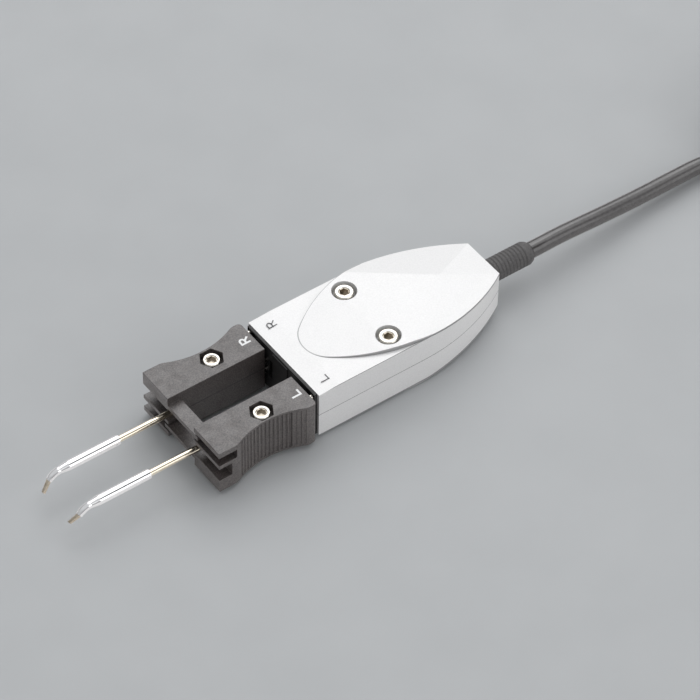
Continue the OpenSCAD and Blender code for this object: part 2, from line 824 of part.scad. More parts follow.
// Barrel: straight sleeve over the tube and heater, then a taper, a bend and a grooved collar
module arm_barrel(side) {
    color(chrome) arm(side) translate([0, tip_v, 0]) difference() {
        union() {
            rod(barrel_u, bend_u - barrel_taper, barrel_d);
            translate([bend_u - barrel_taper, 0, 0]) rotate([0, 90, 0])
                cylinder(d1 = barrel_d, d2 = bend_d, h = barrel_taper);
            translate([bend_u, 0, -bend_r]) rotate([90, 0, 0]) bend();
            at_bend_end() rod(-collar_sink, collar_len, collar_d);
        }
        rod(barrel_u - 1, barrel_u + tube_seat, tube_d + 2 * eps);
        rod(barrel_u, heater_u + heater_len, heater_d + 2 * eps);
        translate([barrel_u + crimp_u, -barrel_d / 2, 0]) rotate([90, 0, 0])
            cylinder(d = crimp_d, h = crimp_d, center = true);
        at_bend_end() difference() {
            rod(collar_groove, 2 * collar_groove, barrel_d);
            rod(0, collar_len, blade_root_d);
        }
    }
}

// Chisel blade with its gripping face on the inner side
module arm_blade(side) {
    inner = -barrel_d / 2;
    color(steel) arm(side) translate([0, tip_v, 0]) at_bend_end() hull() {
        rod(collar_len, collar_len + blade_slice, blade_root_d, $fn = 24);
        translate([blade_reach - blade_slice, inner, -blade_edge / 2])
            cube([blade_slice, blade_t, blade_edge]);
    }
}

// Heating rod in the barrel, with two leads back through the tube to the contact pins
module arm_heater(side) {
    color([0.9, 0.88, 0.82]) arm(side) translate([0, tip_v, 0]) {
        rod(heater_u, heater_u + heater_len, heater_d);
        for (level = [1, -1]) {
            lead_u = contact_end + lead_d / 2;
            translate([0, 0, level * lead_w]) rod(lead_u, heater_u + eps, lead_d);
            translate([lead_u, 0, level * lead_w - (level < 0 ? contact_w - lead_w : 0)])
                cylinder(d = lead_d, h = contact_w - lead_w);
        }
    }
}

module left_lever() { arm_lever(1); }
module left_socket() { arm_socket(1); }
module left_contacts() { arm_contacts(1); }
module left_guide_pins() { arm_guide_pins(1); }
module left_grip_upper() { color(black) place() grip_half(1); }
module left_grip_lower() { color(black) place() grip_half(-1); }
module left_clamp_screw() { arm_clamp_screw(1); }
module left_clamp_nut() { arm_clamp_nut(1); }
module left_tube() { arm_tube(1); }
module left_barrel() { arm_barrel(1); }
module left_blade() { arm_blade(1); }
module left_heater() { arm_heater(1); }

module right_lever() { arm_lever(-1); }
module right_socket() { arm_socket(-1); }
module right_contacts() { arm_contacts(-1); }
module right_guide_pins() { arm_guide_pins(-1); }
module right_grip_upper() { color(black) place() turned() grip_half(-1); }
module right_grip_lower() { color(black) place() turned() grip_half(1); }
module right_clamp_screw() { arm_clamp_screw(-1); }
module right_clamp_nut() { arm_clamp_nut(-1); }
module right_tube() { arm_tube(-1); }
module right_barrel() { arm_barrel(-1); }
module right_blade() { arm_blade(-1); }
module right_heater() { arm_heater(-1); }

// Cable, hank and plug on the bench

module cable() {
    color(grey) tube(route, cable_d, 10, [0, 0, 1]);
}

// Section of the hank's strands, two side by side in three layers, its corners cut
module hank_section() {
    cut = 0.3 * cable_d;
    in = hank_fold_r + cable_d / 2 - hank_w;
    out = hank_fold_r + cable_d / 2;
    low = cable_rest - cable_d / 2;
    top = low + hank_h;
    polygon([
        [in, low + cut], [in + cut, low], [out - cut, low], [out, low + cut],
        [out, top - cut], [out - cut, top], [in + cut, top], [in, top - cut]
    ]);
}

// Hank: two straight runs joined by a fold at each end
module cable_hank() {
    color(grey) translate([hank_x, 0, 0]) {
        rotate([0, 0, -90]) rotate_extrude(angle = 180, $fn = 96) hank_section();
        translate([-hank_run, 0, 0]) {
            rotate([0, 0, 90]) rotate_extrude(angle = 180, $fn = 96) hank_section();
            rotate([90, 0, 90]) linear_extrude(hank_run) hank_section();
            rotate([90, 0, 90]) linear_extrude(hank_run) mirror([1, 0]) hank_section();
        }
    }
}

// 0 before a, 1 after b, a half wave of the cosine between
function ease(a, b, x) = (1 - cos(180 * min(1, max(0, (x - a) / (b - a))))) / 2;

// Last strand: up onto the hank's top, over its far fold, down to the plug
module cable_tail() {
    low = cable_rest + hank_h - cable_d;
    top = cable_rest + hank_h;
    level = tail_len - tail_level;
    stations = concat([for (i = [0:tail_steps]) level * i / tail_steps], [tail_len]);
    color(grey) tube([for (x = stations)
        [hank_x - x, tail_y,
            low + cable_d * ease(0, tail_climb, x) - (top - plug_z) * ease(tail_drop, level, x)]
    ], cable_d, 10, [0, 0, 1]);
}

// Band round one run of the hank
module hank_tie() {
    out = hank_fold_r + cable_d / 2;
    color(black) translate([hank_x - hank_run / 2 - tie_w / 2, -out, cable_rest - cable_d / 2])
        difference() {
            translate([0, -tie_t, -tie_t]) cube([tie_w, hank_w + 2 * tie_t, hank_h + 2 * tie_t]);
            translate([-1, 0, 0]) cube([tie_w + 2, hank_w, hank_h]);
        }
}

// Moves to the rear end of the plug, with u along the plug
module at_plug() {
    translate([plug_x, tail_y, plug_z]) rotate([0, 0, 180]) children();
}

// A solid of revolution about u from points [radius, u]
module turned_about_u(points) {
    rotate([90, 0, 90]) rotate_extrude() polygon(points);
}

module plug_boot() {
    color(grey) at_plug() turned_about_u([
        [0, 0], [cable_d / 2 + 0.8, 0], [cable_d / 2 + 1.2, plug_boot_len * 0.4],
        [plug_body_d / 2 - 1.5, plug_boot_len], [0, plug_boot_len]
    ]);
}

// Metal shell: round rear body, sleeve for the ring, nose that holds the insert
module plug_shell() {
    color(steel) at_plug() turned_about_u([
        [0, plug_boot_len], [plug_body_d / 2 - 0.6, plug_boot_len], [plug_body_d / 2, plug_boot_len + 0.6],
        [plug_body_d / 2, body_end], [sleeve_d / 2, body_end], [sleeve_d / 2, sleeve_end],
        [nose_d / 2, sleeve_end], [nose_d / 2, nose_end], [insert_r, nose_end], [insert_r, insert_start],
        [0, insert_start]
    ]);
}

// The places of the six contacts on their circle
module each_contact() {
    for (k = [0:5]) rotate([60 * k, 0, 0]) translate([0, contact_ring_d / 2, 0]) children();
}

module plug_insert() {
    color(black) at_plug() difference() {
        rod(insert_start, nose_end - insert_set_back, 2 * insert_r - 2 * eps);
        each_contact() rod(contact_start, far, sleeve_contact_d + 2 * eps);
    }
}

// Brass sleeves in the insert that take the pins of the socket
module plug_contacts() {
    color(brass) at_plug() each_contact() difference() {
        rod(contact_start, nose_end - insert_set_back - 0.5, sleeve_contact_d);
        rod(contact_start + 2, far, sleeve_contact_d - 0.6);
    }
}

// Coupling ring that turns on the plug's sleeve
module plug_ring() {
    from = body_end + ring_play;
    to = from + ring_len;
    bevel = 0.5;
    grooves = 24;
    groove_d = 0.9;
    color(steel) at_plug() difference() {
        turned_about_u([
            [sleeve_d / 2 + run_gap, from], [ring_d / 2 - bevel, from], [ring_d / 2, from + bevel],
            [ring_d / 2, to - bevel], [ring_d / 2 - bevel, to], [sleeve_d / 2 + run_gap, to]
        ]);
        for (k = [0:grooves - 1]) rotate([360 * (k + 0.5) / grooves, 0, 0])
            translate([0, ring_d / 2 + 0.15, 0]) rod(from + 1.7, to - 1.7, groove_d, $fn = 16);
    }
}

upper_shell();
lower_shell();
front_plate();
pivot_screws();
pivot_bushes();
screw_inserts();
return_spring();
terminal_board();
conductors();
left_wires();
right_wires();
cord_clamp();
clamp_screws();
cable_boot();
cable_core();
left_lever();
left_socket();
left_contacts();
left_guide_pins();
left_grip_upper();
left_grip_lower();
left_clamp_screw();
left_clamp_nut();
left_tube();
left_barrel();
left_blade();
left_heater();
right_lever();
right_socket();
right_contacts();
right_guide_pins();
right_grip_upper();
right_grip_lower();
right_clamp_screw();
right_clamp_nut();
right_tube();
right_barrel();
right_blade();
right_heater();
cable();
cable_hank();
cable_tail();
hank_tie();
plug_boot();
plug_shell();
plug_insert();
plug_contacts();
plug_ring();
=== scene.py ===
import bpy
import numpy as np
from mathutils import Matrix


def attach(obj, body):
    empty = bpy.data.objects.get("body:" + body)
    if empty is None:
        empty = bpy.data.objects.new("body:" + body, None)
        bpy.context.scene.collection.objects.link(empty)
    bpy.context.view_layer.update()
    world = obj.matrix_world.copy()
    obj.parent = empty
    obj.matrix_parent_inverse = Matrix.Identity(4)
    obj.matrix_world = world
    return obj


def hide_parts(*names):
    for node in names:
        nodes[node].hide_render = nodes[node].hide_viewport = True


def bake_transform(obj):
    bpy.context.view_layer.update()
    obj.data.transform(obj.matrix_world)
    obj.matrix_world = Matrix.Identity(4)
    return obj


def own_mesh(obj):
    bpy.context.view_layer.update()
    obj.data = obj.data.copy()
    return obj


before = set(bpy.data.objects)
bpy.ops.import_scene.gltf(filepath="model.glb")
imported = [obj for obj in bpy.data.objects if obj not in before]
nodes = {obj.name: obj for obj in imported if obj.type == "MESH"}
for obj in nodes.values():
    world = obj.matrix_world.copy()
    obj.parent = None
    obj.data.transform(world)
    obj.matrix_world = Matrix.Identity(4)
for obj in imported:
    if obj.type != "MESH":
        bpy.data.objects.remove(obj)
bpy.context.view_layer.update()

# Camera
# A long lens looks down on the tool from its front left side, with the tips at the lower left of the
# picture and the cable leaving it at the upper right.
azimuth, elevation, roll = np.radians([143.239, 46.827, 1.063])
camera_distance = 0.964514
camera_target = np.array([-0.015432, 0.002401, 0.0101])
camera_back = np.array([
    np.sin(azimuth) * np.cos(elevation), -np.cos(azimuth) * np.cos(elevation), np.sin(elevation)])
level_right = np.array([np.cos(azimuth), np.sin(azimuth), 0.0])
level_up = np.cross(camera_back, level_right)
camera_right = level_right * np.cos(roll) + level_up * np.sin(roll)
camera_up = level_up * np.cos(roll) - level_right * np.sin(roll)
camera_place = camera_target + camera_distance * camera_back
camera_data = bpy.data.cameras.new("camera")
camera_data.sensor_width = 36
camera_data.lens = 180
camera = bpy.data.objects.new("camera", camera_data)
camera.matrix_world = Matrix([
    [camera_right[k], camera_up[k], camera_back[k], camera_place[k]] for k in range(3)] + [[0, 0, 0, 1]])
bpy.context.scene.collection.objects.link(camera)
bpy.context.scene.camera = camera

# Cable
# A dark grey silicone lead of 5 mm. It leaves the boot, slopes down to the bench and bends to a hank of two
# strands side by side in three layers, tied for storage, from whose top the plug's end comes down.
cable_r = 0.0025
cable_low = 0.003
strand_gap = 0.00505
hank_near, hank_run, hank_fold, hank_entry = -0.1815, 0.046, 0.0204, 0.002
hank_far = hank_near - hank_run
hank_start = hank_near - hank_entry
shift_share, shift_lead = 1.56, 0.28
lead_y, lead_r, lead_sag = -0.0031, 0.022, 0.0009
lead_steps, hank_steps, tail_steps, cable_sides = 150, 700, 60, 24
upright = np.array([0.0, 0.0, 1.0])
lead_turn = np.arccos(1 - (hank_fold - lead_y) / (2 * lead_r))
lead_x = hank_start + 2 * lead_r * np.sin(lead_turn)
lead_share = np.arange(6) / 5
turn_out = lead_turn * lead_share[:5]
turn_in = lead_turn * (1 - lead_share)
cable_points = np.vstack([
    [[-0.079584, 0, 0.00935], [-0.084584, 0, 0.00935], [-0.091, -0.0004, 0.0089], [-0.098, -0.0007, 0.0082],
     [-0.105, -0.001, 0.0074], [-0.113, -0.0015, 0.0064], [-0.121, -0.002, 0.0055],
     [-0.129, -0.0025, 0.0048], [-0.1375, -0.0029, 0.0043]],
    np.stack([
        lead_x - lead_r * np.sin(turn_out), lead_y + lead_r * (1 - np.cos(turn_out)),
        cable_low + lead_sag * (1 - lead_share[:5]) ** 2], 1),
    np.stack([
        hank_start + lead_r * np.sin(turn_in), hank_fold - lead_r * (1 - np.cos(turn_in)),
        np.full(6, cable_low)], 1)])


def half_wave(low, high, x):
    """0 below low, 1 above high, and half of one minus the cosine of the share's half turn between them."""
    return (1 - np.cos(np.pi * np.clip((x - low) / (high - low), 0, 1))) / 2


def curve_through(points, count):
    """A curve through points: each stretch is a cubic, and the slope at a point is half the chord between
    its neighbours."""
    ends = np.vstack([2 * points[0] - points[1], points, 2 * points[-1] - points[-2]])
    place = np.linspace(0, len(points) - 1, count)
    k = np.minimum(place.astype(int), len(points) - 2)
    t = (place - k)[:, None]
    a, b, c, d = ends[k], ends[k + 1], ends[k + 2], ends[k + 3]
    return b + 0.5 * t * (c - a + t * (2 * a - 5 * b + 4 * c - d + t * (3 * (b - c) + d - a)))


def hank_path(steps):
    """Five turns of two straight runs and two folds, wound from the near end of the left run. Each turn
    moves to the next strand's place on one of its runs, a little sooner than the turn before it: in, up, out
    on the right run, then up, in, up on the left run."""
    run = hank_run / (2 * hank_run + 2 * np.pi * (hank_fold - strand_gap / 2))
    turn = np.linspace(run * (hank_near - hank_start) / hank_run, 5 + run, steps)
    length = run / shift_share
    sooner = run - length - shift_lead * length * np.arange(3)
    inward = half_wave(0.5 + sooner[0], 0.5 + sooner[0] + length, turn)
    inward -= half_wave(2.5 + sooner[2], 2.5 + sooner[2] + length, turn)
    inward += half_wave(4 + sooner[1], 4 + sooner[1] + length, turn)
    upward = half_wave(1.5 + sooner[1], 1.5 + sooner[1] + length, turn)
    upward += half_wave(3 + sooner[0], 3 + sooner[0] + length, turn)
    upward += half_wave(5 + sooner[2], 5 + sooner[2] + length, turn)
    radius = hank_fold - strand_gap * inward
    phase = turn % 0.5
    along = np.clip(phase / run, 0, 1)
    bend = np.pi * np.clip((phase - run) / (0.5 - run), 0, 1)
    way = np.where(turn % 1 < 0.5, -1, 1)
    middle = (hank_near + hank_far) / 2
    return np.stack([
        middle + way * (hank_run * (along - 0.5) + radius * np.sin(bend)), -way * radius * np.cos(bend),
        cable_low + strand_gap * upward], 1)


def carried(path, profile, up):
    """A closed surface: the profile, pairs of sideways and upward offsets, set square to the path at each
    of its points, with the given up direction made square to the path. One face closes each end."""
    along = np.gradient(path, axis=0)
    along /= np.linalg.norm(along, axis=1)[:, None]
    side = np.cross(along, up)
    side /= np.linalg.norm(side, axis=1)[:, None]
    rise = np.cross(side, along)
    rings = path[:, None] + profile[None, :, :1] * side[:, None] + profile[None, :, 1:] * rise[:, None]
    n, m = rings.shape[:2]
    first = np.arange(n - 1)[:, None] * m + np.arange(m)
    after = np.arange(n - 1)[:, None] * m + (np.arange(m) + 1) % m
    walls = np.stack([first, first + m, after + m, after], -1).reshape(-1, 4)
    ends = [list(range(m)), list(range((n - 1) * m, n * m))[::-1]]
    return rings.reshape(-1, 3), walls.tolist() + ends


def round_outline(radius, count):
    """Points of a circle: the radius times the cosine and the sine of equal shares of a turn."""
    turn = np.linspace(0, 2 * np.pi, count, endpoint=False)
    return radius * np.stack([np.cos(turn), np.sin(turn)], 1)


def piece_from(name, points, faces, smooth=True):
    """A mesh object at the origin, of points and of the faces between them."""
    mesh = bpy.data.meshes.new(name)
    mesh.from_pydata(points.tolist(), [], faces)
    mesh.polygons.foreach_set("use_smooth", np.full(len(mesh.polygons), smooth))
    mesh.update()
    made = bpy.data.objects.new(name, mesh)
    bpy.context.scene.collection.objects.link(made)
    return made


def grained(
        name, dark, light, grain, roughness, metallic=0.0, spread=0.08, bump=0.2, depth=2e-5,
        cover=(0.35, 0.65)):
    """A finish with fine grain: noise on object coordinates mixes two colours, a noise nine times as broad
    moves the roughness by the spread, and the first noise raises the surface by the depth."""
    made = bpy.data.materials.new(name)
    made.use_nodes = True
    tree = made.node_tree
    shader = tree.nodes["Principled BSDF"]
    shader.inputs["Metallic"].default_value = metallic
    place = tree.nodes.new("ShaderNodeTexCoord")
    fine = tree.nodes.new("ShaderNodeTexNoise")
    fine.inputs["Scale"].default_value = grain
    fine.inputs["Detail"].default_value = 4
    colours = tree.nodes.new("ShaderNodeValToRGB")
    colours.color_ramp.elements[0].position = cover[0]
    colours.color_ramp.elements[0].color = (*dark, 1)
    colours.color_ramp.elements[1].position = cover[1]
    colours.color_ramp.elements[1].color = (*light, 1)
    broad = tree.nodes.new("ShaderNodeTexNoise")
    broad.inputs["Scale"].default_value = grain / 9
    gloss = tree.nodes.new("ShaderNodeMapRange")
    gloss.inputs["From Min"].default_value = 0.3
    gloss.inputs["From Max"].default_value = 0.7
    gloss.inputs["To Min"].default_value = roughness - spread
    gloss.inputs["To Max"].default_value = roughness + spread
    relief = tree.nodes.new("ShaderNodeBump")
    relief.inputs["Strength"].default_value = bump
    relief.inputs["Distance"].default_value = depth
    tree.links.new(place.outputs["Object"], fine.inputs["Vector"])
    tree.links.new(place.outputs["Object"], broad.inputs["Vector"])
    tree.links.new(fine.outputs["Fac"], colours.inputs["Fac"])
    tree.links.new(colours.outputs["Color"], shader.inputs["Base Color"])
    tree.links.new(broad.outputs["Fac"], gloss.inputs["Value"])
    tree.links.new(gloss.outputs["Result"], shader.inputs["Roughness"])
    tree.links.new(fine.outputs["Fac"], relief.inputs["Height"])
    tree.links.new(relief.outputs["Normal"], shader.inputs["Normal"])
    return made


def wear(finish, *names):
    """Gives each named solid this finish in place of its own."""
    for name in names:
        nodes[name].data.materials.clear()
        nodes[name].data.materials.append(finish)


cable_silicone = grained(
    "cable_silicone", (0.042, 0.038, 0.038), (0.062, 0.057, 0.057), 900, 0.22, depth=1e-5)
cable_silicone.node_tree.nodes["Principled BSDF"].inputs["Specular IOR Level"].default_value = 0.9
lead = curve_through(cable_points, lead_steps)
strands = hank_path(hank_steps)
tail_top, tail_end, tail_level, tail_flat, plug_axis = strands[-1, 2], 0.096, 0.015, 0.002, 0.0075
tail_x = np.linspace(hank_run, tail_end, tail_steps)
tail_fall = (tail_top - plug_axis) * half_wave(hank_run + tail_level, tail_end - tail_flat, tail_x)
tail = np.stack([hank_near - tail_x, np.full(tail_steps, strands[-1, 1]), tail_top - tail_fall], 1)
cable_path = np.vstack([lead, strands[1:], tail[1:]])
cable = piece_from("cable_full", *carried(cable_path, round_outline(cable_r, cable_sides), upright))
cable.data.materials.append(cable_silicone)
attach(cable, "handle")
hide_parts("cable", "cable_hank", "cable_tail")
wear(cable_silicone, "cable_core")

# Bench and light
# A plain pale bench with a painted reflection: to glossy rays it is near white, so bright metal mirrors it
# white. A wide soft lamp over the far side lays its sheen on every level face and two fills light the rest.
# A dark flag between them draws a fine line along bright rods.
bench_paint = grained("bench_paint", (0.465, 0.477, 0.485), (0.48, 0.492, 0.5), 40, 0.8, bump=0.0)


def mark_or_painted_light(finish, share, colour):
    """Mixes another colour into a finish by a share from 0 to 1: joint lines, painted shade, painted
    reflection.
    """
    tree = finish.node_tree
    mixed = tree.nodes.new("ShaderNodeMix")
    mixed.data_type = "RGBA"
    mixed.inputs["B"].default_value = (*colour, 1)
    tree.links.new(share, mixed.inputs["Factor"])
    tree.links.new(tree.nodes["Color Ramp"].outputs["Color"], mixed.inputs["A"])
    tree.links.new(mixed.outputs["Result"], tree.nodes["Principled BSDF"].inputs["Base Color"])


# Painted reflection: the bench turns near white for glossy rays only, while the camera sees it pale grey.
bench_light = bench_paint.node_tree.nodes.new("ShaderNodeLightPath")
mark_or_painted_light(bench_paint, bench_light.outputs["Is Glossy Ray"], (0.9, 0.885, 0.88))
bench_low, bench_half = -0.00002, 3.0
bench = piece_from("bench", np.array([
    [-bench_half, -bench_half, bench_low], [bench_half, -bench_half, bench_low],
    [bench_half, bench_half, bench_low], [-bench_half, bench_half, bench_low]]), [[0, 1, 2, 3]])
bench.data.materials.append(bench_paint)


def facing(place):
    """Directions to the right and up in a plane that faces the tool from a place, and away from the tool."""
    back = np.array(place) / np.linalg.norm(place)
    right = np.cross(upright, back)
    right /= np.linalg.norm(right)
    return right, np.cross(back, right), back


def lamp(name, place, size, power):
    """A square soft lamp that faces the tool."""
    data = bpy.data.lights.new(name, "AREA")
    data.size = size
    data.energy = power
    made = bpy.data.objects.new(name, data)
    right, up, back = facing(place)
    made.matrix_world = Matrix([[right[k], up[k], back[k], place[k]] for k in range(3)] + [[0, 0, 0, 1]])
    bpy.context.scene.collection.objects.link(made)


lamp("far_lamp", (-0.9, -1.2, 1.5), 1.6, 14)
lamp("top_lamp", (-0.8, -0.14, 1.77), 1.6, 7.5)
lamp("near_lamp", (-0.85, 1.66, 0.8), 1.5, 8.6)
flag_place, flag_half = np.array([-0.492, 0.564, 0.938]), 0.277
flag_right, flag_up, flag_back = facing(flag_place)
flag = piece_from("flag", np.array([
    flag_place + flag_half * (a * flag_right + b * flag_up)
    for a, b in ((-1, -1), (1, -1), (1, 1), (-1, 1))]), [[0, 1, 2, 3]])
flag_cloth = grained("flag_cloth", (0.02, 0.02, 0.02), (0.03, 0.03, 0.03), 60, 0.9, bump=0.0)
flag.data.materials.append(flag_cloth)
flag.visible_camera = False
flag.visible_shadow = False
world = bpy.data.worlds.new("studio")
world.use_nodes = True
sky = world.node_tree
sky_way = sky.nodes.new("ShaderNodeTexCoord")
sky_parts = sky.nodes.new("ShaderNodeSeparateXYZ")
sky_light = sky.nodes.new("ShaderNodeValToRGB")
sky_light.color_ramp.elements[0].position = 0.0
sky_light.color_ramp.elements[0].color = (0.26, 0.263, 0.268, 1)
sky_light.color_ramp.elements[1].position = 0.7
sky_light.color_ramp.elements[1].color = (0.64, 0.648, 0.66, 1)
sky.links.new(sky_way.outputs["Generated"], sky_parts.inputs["Vector"])
sky.links.new(sky_parts.outputs["Z"], sky_light.inputs["Fac"])
sky.links.new(sky_light.outputs["Color"], sky.nodes["Background"].inputs["Color"])
bpy.context.scene.world = world
bpy.context.scene.view_settings.view_transform = "Standard"

# Handle shells
# Two plastic mouldings with satin silver paint, held by the pivot screws and met at a fine parting line. The
# paint is dark in that line. Painted shade greys the paint along the shield's step and on the wall just
# under the top edge, more so behind the step.
silver_paint = grained(
    "silver_paint", (0.77, 0.765, 0.763), (0.825, 0.82, 0.817), 2600, 0.38, metallic=0.15, spread=0.03,
    bump=0.08, depth=1e-5)
front_x, parting_z, apron_h = 0.005316, 0.00935, 0.00825
handle_len, half_wide, half_rear = 0.0687, 0.01665, 0.00725
shield_rise, rear_drop, crease_start, crease_end = 0.0011, 0.0027, 0.0315, 0.053
crease_turn = np.arctan(half_wide / (crease_end - crease_start))
crease_in, crease_back = np.cos(crease_turn), np.sin(crease_turn)
crease_run = (handle_len - crease_start) * crease_back - (half_wide - half_rear) * crease_in
shield_widest, shield_nose, shield_side_r = 0.038, 0.0068, 0.0446
shield_side_v, shield_run = shield_side_r - half_wide, shield_widest - shield_nose
nose_r = (shield_side_r ** 2 - shield_side_v ** 2 - shield_run ** 2) / (2 * (shield_side_r - shield_run))
nose_u = -shield_nose - nose_r
nose_join = shield_side_r * (nose_u + shield_widest) / (shield_side_r - nose_r) - shield_widest
parting_half, step_half, edge_deep, edge_more, edge_in = 0.00009, 0.00016, 0.0003, 0.00045, 0.0004
step_shade_share, edge_shade_share, apron_skin, level_share = 0.6, 0.8, 0.00003, 0.5


def reckon(step, *values):
    """One step of arithmetic in a finish, on numbers and on results of other steps."""
    tree = next(value.id_data for value in values if isinstance(value, bpy.types.NodeSocket))
    made = tree.nodes.new("ShaderNodeMath")
    made.operation = step
    for socket, value in zip(made.inputs, values):
        if isinstance(value, bpy.types.NodeSocket):
            tree.links.new(value, socket)
        else:
            socket.default_value = value
    return made.outputs["Value"]


def places(finish):
    """Where a point of a finish lies: how far before the handle's front edge, how far from the middle plane
    and how far above the parting plane."""
    tree = finish.node_tree
    place = tree.nodes.new("ShaderNodeSeparateXYZ")
    tree.links.new(tree.nodes["Texture Coordinate"].outputs["Object"], place.inputs["Vector"])
    return (
        reckon("SUBTRACT", place.outputs["X"], front_x), reckon("ABSOLUTE", place.outputs["Y"]),
        reckon("SUBTRACT", place.outputs["Z"], parting_z))


def ring_gap(along, across, middle_u, middle_v, radius):
    """How far a point lies outside a circle in plan: its distance from the middle, less the radius."""
    a, b = reckon("SUBTRACT", along, middle_u), reckon("SUBTRACT", across, middle_v)
    squares = reckon("ADD", reckon("MULTIPLY", a, a), reckon("MULTIPLY", b, b))
    return reckon("SUBTRACT", reckon("SQRT", squares), radius)


paint_nodes = silver_paint.node_tree.nodes
paint_facing = paint_nodes.new("ShaderNodeSeparateXYZ")
silver_paint.node_tree.links.new(
    paint_nodes.new("ShaderNodeNewGeometry").outputs["Normal"], paint_facing.inputs["Vector"])
level = reckon("GREATER_THAN", reckon("ABSOLUTE", paint_facing.outputs["Z"]), level_share)
along, across, rise = places(silver_paint)
height = reckon("ABSOLUTE", rise)
parting_line = reckon("LESS_THAN", height, parting_half)
in_nose = reckon("GREATER_THAN", along, nose_join)
in_sides = reckon("COMPARE", along, (nose_join - shield_widest) / 2, (nose_join + shield_widest) / 2)
# Painted shade: a grey line along the shield's step, on the top and on the step's wall above the apron.
nose_line = reckon("COMPARE", ring_gap(along, across, nose_u, 0.0, nose_r), 0.0, step_half)
side_gap = ring_gap(along, across, -shield_widest, -shield_side_v, shield_side_r)
side_line = reckon("COMPARE", side_gap, 0.0, step_half)
step_shade = reckon(
    "MAXIMUM", reckon("MULTIPLY", nose_line, in_nose), reckon("MULTIPLY", side_line, in_sides))
step_shade = reckon("MULTIPLY", step_shade, reckon("GREATER_THAN", height, apron_h - apron_skin))
# Painted shade: a grey band on the walls just under the top edge, deeper behind the step.
crease_fall = reckon(
    "SUBTRACT", reckon("MULTIPLY", reckon("SUBTRACT", across, half_wide), crease_in),
    reckon("MULTIPLY", reckon("ADD", along, crease_start), crease_back))
crease_fall = reckon("MULTIPLY", crease_fall, rear_drop / crease_run)
rear_fall = reckon("MULTIPLY", reckon("ADD", along, crease_end), -rear_drop / (handle_len - crease_end))
fall = reckon("MAXIMUM", reckon("MAXIMUM", crease_fall, rear_fall), 0.0)
behind_step = reckon("LESS_THAN", along, -shield_widest)
top_edge = reckon("ADD", reckon("MULTIPLY", behind_step, reckon("SUBTRACT", shield_rise, fall)), apron_h)
edge_reach = reckon("ADD", reckon("MULTIPLY", behind_step, edge_more), edge_deep)
edge_shade = reckon("COMPARE", height, top_edge, edge_reach)
on_side = reckon("MAXIMUM", behind_step, reckon("GREATER_THAN", across, half_wide - edge_in))
edge_shade = reckon("MULTIPLY", reckon("MULTIPLY", edge_shade, on_side), reckon("SUBTRACT", 1.0, level))
painted_edge_shade = reckon(
    "MAXIMUM", reckon("MULTIPLY", step_shade, step_shade_share), reckon("MULTIPLY", edge_shade, edge_shade_share))
# One grey for the dark parting line and for the painted shade along the step and under the top edge.
mark_or_painted_light(silver_paint, reckon("MAXIMUM", parting_line, painted_edge_shade), (0.16, 0.16, 0.165))
wear(silver_paint, "upper_shell", "lower_shell")

# Front plate
# A black moulded plate that closes the handle's mouth, held between the shells, with windows for the arms.
# The other small black mouldings have the same finish.
black_plastic = grained("black_plastic", (0.012, 0.012, 0.012), (0.022, 0.021, 0.021), 1800, 0.5)
wear(black_plastic, "front_plate", "cord_clamp", "left_socket", "right_socket", "plug_insert", "hank_tie")

# Screws, nuts and pins
# Bright nickel-plated steel: socket heads on the pivots and the grips, darkened inside their hexagon sockets
# by painted shade, and plain pins and contacts pressed into the levers' blocks and the grips.
nickel = grained(
    "nickel", (0.64, 0.61, 0.56), (0.74, 0.71, 0.66), 1400, 0.22, metallic=1.0, spread=0.05, bump=0.05)
wear(nickel, "clamp_screws", "plug_shell", "plug_ring", *(
    side + part for side in ("left_", "right_") for part in ("clamp_nut", "guide_pins", "contacts")))
head_nickel = grained(
    "head_nickel", (0.7, 0.67, 0.61), (0.78, 0.75, 0.69), 1400, 0.25, metallic=1.0, spread=0.04, bump=0.05)
hexagon_r = 0.00155
pivot_u, pivot_v = -0.02786, 0.01031
clamp_u, clamp_v = 0.0156, 0.01184
# Painted shade: within the hexagon's reach of each screw's axis, above the parting plane, the head is
# darker.
along, across, rise = places(head_nickel)
pivot_gap = ring_gap(along, across, pivot_u, pivot_v, hexagon_r)
clamp_gap = ring_gap(along, across, clamp_u, clamp_v, hexagon_r)
in_hexagon = reckon("LESS_THAN", reckon("MINIMUM", pivot_gap, clamp_gap), 0.0)
socket_shade = reckon("MULTIPLY", in_hexagon, reckon("GREATER_THAN", rise, 0.0))
mark_or_painted_light(head_nickel, socket_shade, (0.5, 0.45, 0.38))
wear(head_nickel, "pivot_screws", "left_clamp_screw", "right_clamp_screw")

# Grips
# Black glass-filled plastic with a mottled grain, in four moulded halves that clamp round the levers. Their
# front combs slide into each other, and ribs run up their outer walls.
grip_plastic = grained(
    "grip_plastic", (0.024, 0.02, 0.019), (0.112, 0.094, 0.089), 2700, 0.42, bump=0.5, depth=4e-5,
    cover=(0.36, 0.66))
grip_plastic.node_tree.nodes["Principled BSDF"].inputs["Specular IOR Level"].default_value = 1.0


def eased(width, *names):
    """Joins the loose triangles of a solid, clears its flat faces of inner edges and rounds its sharp edges
    by the width. The normals follow the larger faces."""
    for name in names:
        joined = nodes[name].modifiers.new("joined", "WELD")
        joined.merge_threshold = 1e-6
        flat = nodes[name].modifiers.new("flat", "DECIMATE")
        flat.decimate_type = "DISSOLVE"
        flat.angle_limit = np.radians(0.4)
        edge = nodes[name].modifiers.new("edge", "BEVEL")
        edge.width = width
        edge.segments = 3
        edge.limit_method = "ANGLE"
        edge.angle_limit = np.radians(28)
        edge.use_clamp_overlap = False
        nodes[name].modifiers.new("shading", "WEIGHTED_NORMAL")


